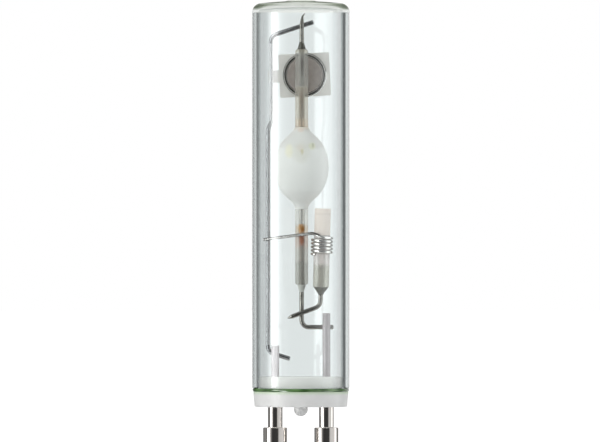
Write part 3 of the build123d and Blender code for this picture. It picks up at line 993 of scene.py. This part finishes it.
def makeRods():
    axis = (burner["offset"], 0)
    for side, sign in (("upper", 1), ("lower", -1)):
        low, high = boxMm(side + "_feedthrough")
        core, thin = rods["core"], rods["electrode"]
        rod = turnedMesh("rod", [(0, low.z), (core, low.z), (core, high.z), (0, high.z)], 24, axis)
        sizes = (rods["strand"], None, low.z, high.z, axis)
        winding = windingMesh("winding", "molybdenum", core, *sizes)
        mesh = joinMeshes(side + "Feedthrough", rod, winding)
        addPiece(mesh, "molybdenum", side + "_feedthrough", "molybdenum")
        low, high = boxMm(side + "_electrode")
        outline = [(0, low.z), (thin, low.z), (thin, high.z), (0, high.z)]
        tip = 1 if sign > 0 else 2
        outline[tip] += (0.04,)
        mesh = turnedMesh(side + "Electrode", roundOutline(outline, 4), 24, axis)
        addPiece(mesh, "tungsten", side + "_electrode", "tungsten")
        low, high = boxMm(side + "_electrode_coil")
        sizes = (rods["coilCore"], rods["coilStrand"], rods["coilTurns"], low.z, high.z, axis)
        mesh = windingMesh(side + "ElectrodeCoil", "tungsten", *sizes)
        addPiece(mesh, "tungsten", side + "_electrode_coil", "tungsten")
        low, high = boxMm(side + "_seal")
        sizes = (low.z, high.z, rods["fritWide"], rods["fritThin"], sign, axis)
        look = "fritGrey" if sign > 0 else "fritPale"
        addPiece(fritMesh(side + "Frit", *sizes), "frit", side + "_seal", look)


makeRods()

salt = {"outer": 0.355, "inner": 0.31, "ripple": 0.03, "roughEnd": 0.3, "roughness": 0.06}


def makeSaltCollar():
    low, high = boxMm("halide_salt")
    steps = 18
    outline = [(salt["inner"], low.z)]
    for step in range(steps + 1):
        radius = salt["outer"] - salt["ripple"] * math.sin(step * 1.9) ** 2
        outline.append((radius, low.z + (high.z - low.z) * step / steps))
    outline.append((salt["inner"], high.z))
    mesh = turnedMesh("saltCollar", outline, 40, (burner["offset"], 0))
    for vertex in mesh.vertices:
        if vertex.co.z > (high.z - salt["roughEnd"]) * mm:
            vertex.co.z += salt["roughness"] * mm * noise.noise(vertex.co / mm * 3)
    addPiece(mesh, "halide_salt", "halide_salt", "saltOrange")


makeSaltCollar()
print("burner made")


# Wires

wires = {
    "seat": 6.0,
    "leadRadius": 0.29,
    "frameRadius": 0.29,
    "igniterLeadRadius": 0.28,
    "aerialRadius": 0.19,
    "postRadius": 0.5,
    "postX": 3.25,
    "weldSink": 0.05,
}
capillaryTop = burner["middle"] + burner["reach"]
capillaryFoot = burner["middle"] - burner["reach"]
burnerX = burner["offset"]

leads = {
    "upperDepth": 4.7,  # how far the upper one goes into its capillary
    "hook": [(0.02, 1.55), (0.1, 0.55), (0.42, 0.12)],  # aside, and below the top
    "tip": {"tipLength": 1.5, "tipShare": 0.12},
    "lowerDepth": 3.0,
    "turnBelow": 5.38,
    "lowerRun": 4.2,
}


def makeLeads():
    # The upper one is drawn to a hooked point, the lower one is bent over to the tall post
    radius = wires["leadRadius"]
    top = boxMm("upper_lead")[1].z
    corners = [(burnerX, 0, capillaryTop - leads["upperDepth"])]
    corners += [(burnerX + aside, 0, top - below) for aside, below in leads["hook"]]
    sizes = {"bend": 0.5, "step": 0.05, **leads["tip"]}
    mesh = wireMesh("upperLead", "niobium", corners, radius, **sizes)
    addPiece(mesh, "niobium", "upper_lead", "niobium")
    reach = wires["postX"] - burnerX
    heading = math.asin((wires["postRadius"] + radius - wires["weldSink"]) / reach)
    run, corner = leads["lowerRun"], capillaryFoot - leads["turnBelow"]
    corners = [
        (burnerX, 0, capillaryFoot + leads["lowerDepth"]),
        (burnerX, 0, corner),
        (burnerX + run * math.cos(heading), run * math.sin(heading), corner),
    ]
    mesh = wireMesh("lowerLead", "niobium", corners, radius, bend=0.95, step=0.08)
    addPiece(mesh, "niobium", "lower_lead", "niobium")


makeLeads()

frameWire = {
    "upperX": -3.86,
    "upperY": 1.45,
    "lowerX": -4.237,
    "topCorner": 47.1,
    "topSlope": 0.322,
    "topReach": 1.4,
    "jogHeight": 35.7,
    "jogLength": 1.1,
    "footCorner": 7.0,
    "footSlope": 0.32,
    "footReach": 1.87,
    "unrubbed": 0.9,  # how far from its corners the lit and shaded copies begin
    # faces whose normal points this far to the front get the painted highlight stripe
    "rubbedFront": -0.93,
}
frameWeldY = wires["frameRadius"] + wires["postRadius"] - wires["weldSink"]


def makeFrameWire():
    # Over the top lead, down beside the burner, jogged round it, and under to the left post
    radius, seat = wires["frameRadius"], wires["seat"]
    x, y, lowerX = frameWire["upperX"], frameWire["upperY"], frameWire["lowerX"]
    over = wires["leadRadius"] + radius - wires["weldSink"]
    away = math.hypot(burnerX - x, y)
    heading = math.asin(over / away) - math.atan2(y, burnerX - x)
    reach = math.sqrt(away**2 - over**2) + frameWire["topReach"]
    across = reach * math.cos(heading)
    topCorner = Vector((x, y, seat + frameWire["topCorner"]))
    topRun = Vector((across, reach * math.sin(heading), across * frameWire["topSlope"]))
    jog = seat + frameWire["jogHeight"]
    half = frameWire["jogLength"] / 2
    footCorner = Vector((lowerX, frameWeldY, seat + frameWire["footCorner"]))
    run = frameWire["footReach"] - wires["postX"] - lowerX
    corners = [
        topCorner + topRun,
        topCorner,
        (x, y, jog + half),
        (lowerX, frameWeldY, jog - half),
        footCorner,
        footCorner + Vector((run, 0, -run * frameWire["footSlope"])),
    ]

    def lookAt(place, normal):
        # Painted light and shade: its two straight lengths get a lighter copy, the upper one all
        # round, the lower one only on a thin front stripe, a painted highlight, with a darker,
        # shinier copy round the rest
        if jog - half < place.z < topCorner.z - frameWire["unrubbed"]:
            return 1
        if footCorner.z + frameWire["unrubbed"] < place.z <= jog - half:
            return 1 if normal.y < frameWire["rubbedFront"] else 2
        return 0

    mesh = wireMesh("sideWire", "frameSteel", corners, radius, bend=1.0, step=0.12)
    names = ("frameSteel", "frameSatin", "frameRubbed")
    addPiece(paintFaces(mesh, lookAt), "frame_wire", "frame_wire", *names)


makeFrameWire()

igniter = {
    "x": 2.53,
    "y": wires["weldSink"] - wires["leadRadius"] - wires["igniterLeadRadius"],
    "foot": 15.2,
    "radius": 1.02,
    "length": 10.0,
    "bore": 0.36,
    "cap": 3.4,
    "lean": 1.4,
    "fritLength": 1.0,
    "fritWide": 0.98,
    "leadTop": 2.8,
    "leadCorner": -2.4,
    "leadReach": 1.25,  # how far past the burner's axis its lead is welded
    "leadSlope": 0.37,
    "leadTip": 0.56,
}
igniterPlace = Matrix.Translation((igniter["x"], igniter["y"], wires["seat"] + igniter["foot"]))
igniterPlace = igniterPlace @ Matrix.Rotation(math.radians(igniter["lean"]), 4, "Y")


def placed(mesh, place):
    mesh.transform(Matrix.Scale(mm, 4) @ place @ Matrix.Scale(1 / mm, 4))
    return mesh


def makeIgniter():
    bore, radius, length = igniter["bore"], igniter["radius"], igniter["length"]
    head = length - igniter["cap"]
    outline = [
        (bore, 0),
        (radius, 0, 0.05),
        (radius, head),
        (radius, length, 0.12),
        (0, length),
        (0, head),
        (bore, head, 0.05),
    ]
    mesh = turnedMesh("igniterShell", roundOutline(outline), 72)
    mesh = paintFaces(mesh, lambda place, normal: int(place.z < head - 0.01))
    names = ("igniterHead", "igniterSleeve")
    addPiece(placed(mesh, igniterPlace), "igniter_ceramic", "igniter_tube", *names)
    sizes = (-igniter["fritLength"], 0.0, igniter["fritWide"], wires["leadRadius"], -1, (0, 0))
    mesh = placed(fritMesh("igniterFrit", *sizes), igniterPlace)
    addPiece(mesh, "frit", "igniter_seal", "fritGrey")
    top = igniterPlace @ Vector((0, 0, igniter["leadTop"]))
    corner = igniterPlace @ Vector((0, 0, igniter["leadCorner"]))
    run = corner.x - burnerX + igniter["leadReach"]
    tail = Vector((-run, 0, -run * igniter["leadSlope"]))
    corners = [top, corner, corner + tail + tail.normalized() * igniter["leadTip"]]
    sizes = {"bend": 1.05, "step": 0.06, "tipLength": igniter["leadTip"], "tipShare": 0.25}
    mesh = wireMesh("igniterLead", "niobium", corners, wires["igniterLeadRadius"], **sizes)
    addPiece(mesh, "niobium", "igniter_lead", "niobium")


makeIgniter()

aerial = {
    "weldHeight": 21.3,
    "tail": 0.45,
    "crestHeight": 22.05,
    "crestX": 1.5,
    "bend": 1.1,
    "neckGap": 0.12,
    "turns": 4.8,
    "pitch": 0.45,
    "coilHeight": 6.3,
    "coilStart": -60,
    "coilFit": 0.02,
    "runIn": 0.7,
    "stepsATurn": 48,
    "dullTo": -0.35,  # where the straight run's painted shade ends, beside the crest
    "shadeTo": 2.0,  # and where the crest's ends
    "shadeRise": 1.6,
}


def makeAerial():
    # From the side wire, across the front of the lower neck, into a close coil on the igniter tube
    radius = wires["aerialRadius"]
    pastFrame = wires["frameRadius"] + radius - wires["weldSink"]
    pastNeck = burner["neckRadius"] + radius + aerial["neckGap"]
    apart = Vector((burnerX - frameWire["lowerX"], -frameWeldY))
    heading = math.atan2(apart.y, apart.x) - math.asin((pastNeck - pastFrame) / apart.length)
    weldX = frameWire["lowerX"] + pastFrame * math.sin(heading)
    weldY = frameWeldY - pastFrame * math.cos(heading)
    rise = (aerial["crestHeight"] - aerial["weldHeight"]) / (aerial["crestX"] - weldX)
    along = Vector((1, math.tan(heading), rise))
    weld = Vector((weldX, weldY, wires["seat"] + aerial["weldHeight"]))
    crest = weld + along * (aerial["crestX"] - weldX)
    reach = igniter["radius"] + aerial["coilFit"] + radius
    coil = []
    for step in range(round(aerial["turns"] * aerial["stepsATurn"]) + 1):
        turn = step / aerial["stepsATurn"]
        angle = math.radians(aerial["coilStart"] + 360 * turn)
        height = aerial["coilHeight"] - aerial["pitch"] * turn
        place = Vector((reach * math.cos(angle), reach * math.sin(angle), height))
        coil.append(igniterPlace @ place)
    runIn = coil[0] + (coil[0] - coil[1]).normalized() * aerial["runIn"]
    corners = [weld - along * aerial["tail"], crest, runIn] + coil

    def lookAt(place, normal):
        # Painted shade: a darker copy along the straight run, and the darkest one at the crest
        if place.x <= crest.x + aerial["dullTo"]:
            return 1
        nearCrest = place.x < crest.x + aerial["shadeTo"]
        return 2 if nearCrest and place.z > coil[0].z + radius * aerial["shadeRise"] else 0

    sizes = {"bend": aerial["bend"], "step": 0.1, "sides": 20}
    mesh = wireMesh("aerialWire", "aerialBright", corners, radius, **sizes)
    names = ("aerialBright", "aerialRun", "aerialShade")
    addPiece(paintFaces(mesh, lookAt), "aerial_wire", "aerial_wire", *names)


makeAerial()
print("wires made")


# Getter

getter = {
    "height": 42.15,
    "offset": 0.5,
    "width": 6.6,
    "tall": 5.5,
    "corner": 0.18,
    "sheet": 0.2,
    "turn": 3.0,
    "tabHeight": 1.6,
    "tabOverlap": 0.1,
    "ringRadius": 2.8,
    "ringBore": 2.45,
    "ringDepth": 0.5,
    "ringRounding": 0.085,
    "rimWidth": 0.2,
    "troughDepth": 0.1,
    "troughSlope": 0.03,
    "glint": (-80, 5),  # degrees round the ring, from its right
    "pelletRadius": 2.33,
    "pelletDepth": 0.36,
}
getterFront = frameWire["upperY"] + wires["frameRadius"] - wires["weldSink"]
getterHeight = wires["seat"] + getter["height"]
getterPlace = Matrix.Translation((getter["offset"], getterFront, getterHeight))
getterPlace = getterPlace @ Matrix.Rotation(math.radians(-getter["turn"]), 4, "Y")
# Turned pieces are made lying down and stand up against the sheet
getterStanding = getterPlace @ Matrix.Rotation(math.radians(90), 4, "X")


def makeGetterSheet():
    # Rolled sheet with a weld tab, its corners sheared round
    halfWidth, halfTall, corner = getter["width"] / 2, getter["tall"] / 2, getter["corner"]
    toWire = getter["offset"] - halfWidth - frameWire["upperX"]
    end = -halfWidth - (toWire + wires["frameRadius"] + getter["tabOverlap"])
    tab = getter["tabHeight"] / 2
    corners = [
        (-halfWidth, -halfTall, corner),
        (halfWidth, -halfTall, corner),
        (halfWidth, halfTall, corner),
        (-halfWidth, halfTall, corner),
        (-halfWidth, tab),
        (end, tab, 0.1),
        (end, -tab, 0.1),
        (-halfWidth, -tab),
    ]
    outline = roundOutline(corners, 5)
    bm = bmesh.new()
    front = [bm.verts.new(Vector((x, 0, z)) * mm) for x, z in outline]
    back = [bm.verts.new(Vector((x, getter["sheet"], z)) * mm) for x, z in outline]
    bm.faces.new(front)
    bm.faces.new(back[::-1])
    for index in range(len(front)):
        after = (index + 1) % len(front)
        bm.faces.new([front[after], front[index], back[index], back[after]])
    mesh = placed(finishedMesh("getterSheet", bm, 30), getterPlace)
    addPiece(mesh, "getter_sheet", "getter_plate", "getterSteel")


def makeGetterRing():
    radius, bore, depth = getter["ringRadius"], getter["ringBore"], getter["ringDepth"]
    rim, slope = radius - getter["rimWidth"], getter["troughSlope"]
    rounding, trough = getter["ringRounding"], getter["troughDepth"]
    outline = [
        (bore, 0),
        (radius, 0, 0.05),
        (radius, depth, rounding),
        (rim, depth, rounding),
        (rim - slope, trough, 0.03),
        (bore, trough),
    ]

    def lookAt(place, normal):
        # Painted shade where it dips round the disc and at its outer edge, and a shinier copy of
        # its metal at the lower right for a painted glint
        reach = place.to_2d().length
        bearing = math.degrees(math.atan2(place.y, place.x))
        if reach >= rim + slope and getter["glint"][0] < bearing < getter["glint"][1]:
            return 2
        return int(reach < rim + slope or reach > radius - rounding)

    mesh = paintFaces(turnedMesh("getterRing", roundOutline(outline), 120), lookAt)
    names = ("getterRim", "getterGroove", "getterGlint")
    addPiece(placed(mesh, getterStanding), "getter_ring", "getter_ring", *names)


def makeGetterPellet():
    radius, depth = getter["pelletRadius"], getter["pelletDepth"]
    outline = roundOutline([(0, 0), (radius, 0), (radius, depth, 0.12), (0, depth)])
    mesh = placed(turnedMesh("getterPellet", outline, 96), getterStanding)
    addPiece(mesh, "getter_fill", "getter_pellet", "getterFill")


makeGetterSheet()
makeGetterRing()
makeGetterPellet()
print("getter made")


# Floor, world, lamps and camera

floorLook = {"size": 6.0, "colour": (0.8, 0.8, 0.8), "rough": 0.9, "lift": 0.78}


def makeFloor():
    # White where the camera and the glass see it, with the lamp's own soft shadow
    bpy.ops.mesh.primitive_plane_add(size=floorLook["size"])
    floor = bpy.context.object
    floor.name = "floor"
    tree, shader, output = newMaterial("paleFloor")
    values = {"Base Color": floorLook["colour"], "Roughness": floorLook["rough"]}
    feed(tree, shader, {**values, "Specular IOR Level": 0.0})
    path = addNode(tree, "ShaderNodeLightPath").outputs
    glow = addNode(tree, "ShaderNodeEmission", {"Strength": 1.0})
    strength = mathNode(tree, "MULTIPLY", path["Is Camera Ray"], floorLook["lift"])
    lift = addNode(tree, "ShaderNodeEmission", {"Strength": strength})
    values = {0: shader.outputs[0], 1: lift.outputs[0]}
    shaded = addNode(tree, "ShaderNodeAddShader", values)
    through = mathNode(tree, "MAXIMUM", path["Is Transmission Ray"], path["Is Glossy Ray"])
    seen = mixShader(tree, through, shaded, glow)
    # Reflections pass it, because the studio round the lamp reaches below the floor's level
    clear = addNode(tree, "ShaderNodeBsdfTransparent")
    bounced = mathNode(tree, "GREATER_THAN", path["Glossy Depth"], 0.5)
    feed(tree, output, {"Surface": mixShader(tree, bounced, seen, clear).outputs[0]})
    floor.data.materials.append(looks["paleFloor"])


makeFloor()

# What polished surfaces see round the lamp, by bearing from the camera: dark in front, a soft box
# on the left, a paler panel on the right and the white backdrop behind. Bearings run from 0,
# behind on the left, through 0.5, towards the camera, to 1. The lamp's outside sees the soft box
# small and bright. Through the glass it is wider and softer, and narrower on the near wall's inner
# skin, "wall", than on the wires and the far wall, "inside"
throughLeft = [(0.0, 1.0), (0.085, 1.0), (0.11, 0.4), (0.2, 0.5), (0.24, 0.6), (0.3, 2.4)]
throughRight = [
    (0.55, 0.06), (0.6, 0.3), (0.64, 0.9), (0.665, 1.9), (0.76, 1.9), (0.8, 0.3), (0.89, 0.2),
    (0.915, 1.0),
]
studio = {
    "ambient": (0.44, 0.445, 0.45),
    "overhead": 0.5,
    "overheadFrom": (0.45, 0.8),
    "outside": [
        (0.0, 1.0), (0.03, 1.0), (0.055, 0.1), (0.08, 0.04), (0.112, 0.04), (0.13, 0.32),
        (0.2, 0.32), (0.289, 0.25), (0.299, 9.5), (0.333, 9.5), (0.345, 4.0), (0.36, 0.6),
        (0.4, 0.25), (0.42, 0.05), (0.57, 0.06), (0.6, 0.8), (0.73, 0.9), (0.745, 2.3),
        (0.785, 2.3), (0.81, 0.5), (0.822, 0.05), (0.868, 0.05), (0.88, 0.9), (0.905, 0.9),
        (0.92, 0.4), (0.945, 1.0),
    ],
    "wall": throughLeft + [(0.312, 2.2), (0.33, 1.3), (0.347, 0.4), (0.362, 0.1)] + throughRight,
    "inside": throughLeft + [(0.33, 3.6), (0.385, 3.6), (0.405, 0.1)] + throughRight,
}


def makeWorld():
    world = bpy.data.worlds.new("studio")
    bpy.context.scene.world = world
    world.use_nodes = True
    tree = world.node_tree
    where = splitPoint(tree, addNode(tree, "ShaderNodeTexCoord").outputs["Generated"])
    front = mathNode(tree, "MULTIPLY", where["Y"], -1.0)
    bearing = mathNode(tree, "ARCTAN2", where["X"], front)
    share = mathNode(tree, "MULTIPLY_ADD", bearing, 1 / (2 * math.pi), 0.5)
    panels = {}
    for side in ("outside", "wall", "inside"):
        top = max(level for _, level in studio[side])
        stops = [(position, (level / top,) * 3) for position, level in studio[side]]
        panels[side] = mathNode(tree, "MULTIPLY", rampNode(tree, share, stops), top)
    path = addNode(tree, "ShaderNodeLightPath").outputs
    around = panels["outside"]
    for side, crossings in (("wall", 0.5), ("inside", 2.5)):
        crossed = mathNode(tree, "GREATER_THAN", path["Transmission Depth"], crossings)
        around = mixColour(tree, crossed, around, panels[side])
    upwards = mapRange(tree, where["Z"], *studio["overheadFrom"])
    reflected = mixColour(tree, upwards, around, (studio["overhead"],) * 3)
    bounced = mathNode(tree, "GREATER_THAN", path["Glossy Depth"], 0.5)
    seen = mathNode(tree, "MAXIMUM", path["Is Camera Ray"], path["Is Transmission Ray"])
    white = mixColour(tree, seen, studio["ambient"], (1.0, 1.0, 1.0))
    colour = mixColour(tree, bounced, white, reflected)
    feed(tree, tree.nodes["Background"], {"Color": colour, "Strength": 1.0})


makeWorld()

lamps = [
    # name, place, size, power, colour
    ("keyLeft", (-0.30, -0.16, 0.06), (0.10, 0.30), 0.88, (1.0, 1.0, 1.0)),
    ("fillRight", (0.30, -0.14, 0.06), (0.12, 0.30), 0.42, (0.98, 0.99, 1.0)),
    ("topSoft", (0.05, -0.05, 0.42), (0.30, 0.30), 0.45, (1.0, 1.0, 1.0)),
]
lampAim = Vector((0, 0, 0.03))


def makeLamps():
    for name, place, size, power, colour in lamps:
        data = bpy.data.lights.new(name, "AREA")
        data.shape = "RECTANGLE"
        data.size, data.size_y = size
        data.energy = power
        data.color = colour
        lamp = link(bpy.data.objects.new(name, data))
        lamp.location = place
        lamp.rotation_euler = (lampAim - Vector(place)).to_track_quat("-Z", "Y").to_euler()
        lamp.visible_glossy = False
        lamp.visible_transmission = False


makeLamps()

view = {"lens": 900.0, "sensor": 36.0, "width": 76.2, "aimX": -0.11, "aimZ": 29.6}


def makeCamera():
    data = bpy.data.cameras.new("camera")
    data.lens = view["lens"]
    data.sensor_width = view["sensor"]
    data.clip_start = 0.01
    camera = link(bpy.data.objects.new("camera", data))
    distance = view["width"] * view["lens"] / view["sensor"]
    camera.location = Vector((view["aimX"], -distance, view["aimZ"])) * mm
    camera.rotation_euler = (math.radians(90), 0, 0)
    bpy.context.scene.camera = camera


makeCamera()

scene = bpy.context.scene
scene.view_settings.view_transform = "Standard"

print("scene complete")
